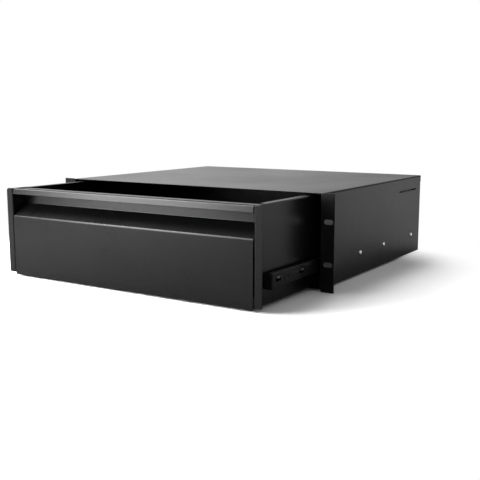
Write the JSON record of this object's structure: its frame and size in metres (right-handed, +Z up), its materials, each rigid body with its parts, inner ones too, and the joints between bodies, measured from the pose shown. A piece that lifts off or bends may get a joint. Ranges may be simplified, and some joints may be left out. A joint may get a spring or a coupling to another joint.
{
  "type": "sliding rack drawer",
  "caption": "Steel drawer unit for an equipment rack: a case with slotted mounting ears holds a drawer with a full-width finger pull, running on telescopic ball slides.",
  "frame": {"origin": "centre of the four rack slots, on the front face of the ears", "axes": "+X to the right seen from the front, +Y from the front to the back, +Z up; the drawer opens towards -Y"},
  "size_m": [0.4826, 0.5176, 0.1324],
  "materials": {
    "case_coat": "fine-textured satin black powder coat",
    "drawer_coat": "fine-textured satin black powder coat",
    "slide_coat": "smooth black electro-coat on rolled steel",
    "bumper_plastic": "moulded black plastic",
    "stop_rubber": "black rubber",
    "screw_zinc": "bright zinc plate",
    "cage_steel": "plain bright strip",
    "ball_steel": "ground and polished"
  },
  "bodies": {
    "case": {"top_cover": "case_coat", "base_plate": "case_coat", "rear_panel": "case_coat", "right_side_panel": "case_coat", "left_side_panel": "case_coat", "right_cabinet_member": "slide_coat", "left_cabinet_member": "slide_coat", "right_cabinet_screws": "screw_zinc", "left_cabinet_screws": "screw_zinc", "right_rear_stop": "stop_rubber", "left_rear_stop": "stop_rubber"},
    "right_intermediate": {"right_middle_member": "slide_coat"},
    "left_intermediate": {"left_middle_member": "slide_coat"},
    "right_outer_cage": {"right_outer_ball_cage": "cage_steel", "right_outer_balls": "ball_steel"},
    "left_outer_cage": {"left_outer_ball_cage": "cage_steel", "left_outer_balls": "ball_steel"},
    "right_inner_cage": {"right_inner_ball_cage": "cage_steel", "right_inner_balls": "ball_steel"},
    "left_inner_cage": {"left_inner_ball_cage": "cage_steel", "left_inner_balls": "ball_steel"},
    "drawer": {"front_panel": "drawer_coat", "pull_strip": "drawer_coat", "drawer_floor": "drawer_coat", "drawer_back": "drawer_coat", "right_drawer_side": "drawer_coat", "left_drawer_side": "drawer_coat", "right_inner_member": "slide_coat", "left_inner_member": "slide_coat", "right_front_bumper": "bumper_plastic", "left_front_bumper": "bumper_plastic", "right_inner_screws": "screw_zinc", "left_inner_screws": "screw_zinc", "right_clinch_nuts": "screw_zinc", "left_clinch_nuts": "screw_zinc"}
  },
  "joints": [
    {"name": "right_intermediate_slide", "type": "slide", "parent": "case", "child": "right_intermediate", "axis": [0, -1, 0], "range_m": [-0.1425, 0.0325]},
    {"name": "left_intermediate_slide", "type": "slide", "parent": "case", "child": "left_intermediate", "axis": [0, -1, 0], "range_m": [-0.1425, 0.0325]},
    {"name": "drawer_slide", "type": "slide", "parent": "right_intermediate", "child": "drawer", "axis": [0, -1, 0], "range_m": [0, 0.175]},
    {"name": "right_outer_cage_slide", "type": "slide", "parent": "case", "child": "right_outer_cage", "axis": [0, -1, 0], "range_m": [-0.07125, 0.01625]},
    {"name": "left_outer_cage_slide", "type": "slide", "parent": "case", "child": "left_outer_cage", "axis": [0, -1, 0], "range_m": [-0.07125, 0.01625]},
    {"name": "right_inner_cage_slide", "type": "slide", "parent": "right_intermediate", "child": "right_inner_cage", "axis": [0, -1, 0], "range_m": [0, 0.0875]},
    {"name": "left_inner_cage_slide", "type": "slide", "parent": "left_intermediate", "child": "left_inner_cage", "axis": [0, -1, 0], "range_m": [0, 0.0875]}
  ],
  "couplings": [
    {"joint": "left_intermediate_slide", "follows": "right_intermediate_slide", "ratio": 1},
    {"joint": "right_outer_cage_slide", "follows": "right_intermediate_slide", "ratio": 0.5},
    {"joint": "left_outer_cage_slide", "follows": "right_intermediate_slide", "ratio": 0.5},
    {"joint": "right_inner_cage_slide", "follows": "drawer_slide", "ratio": 0.5},
    {"joint": "left_inner_cage_slide", "follows": "drawer_slide", "ratio": 0.5}
  ]
}
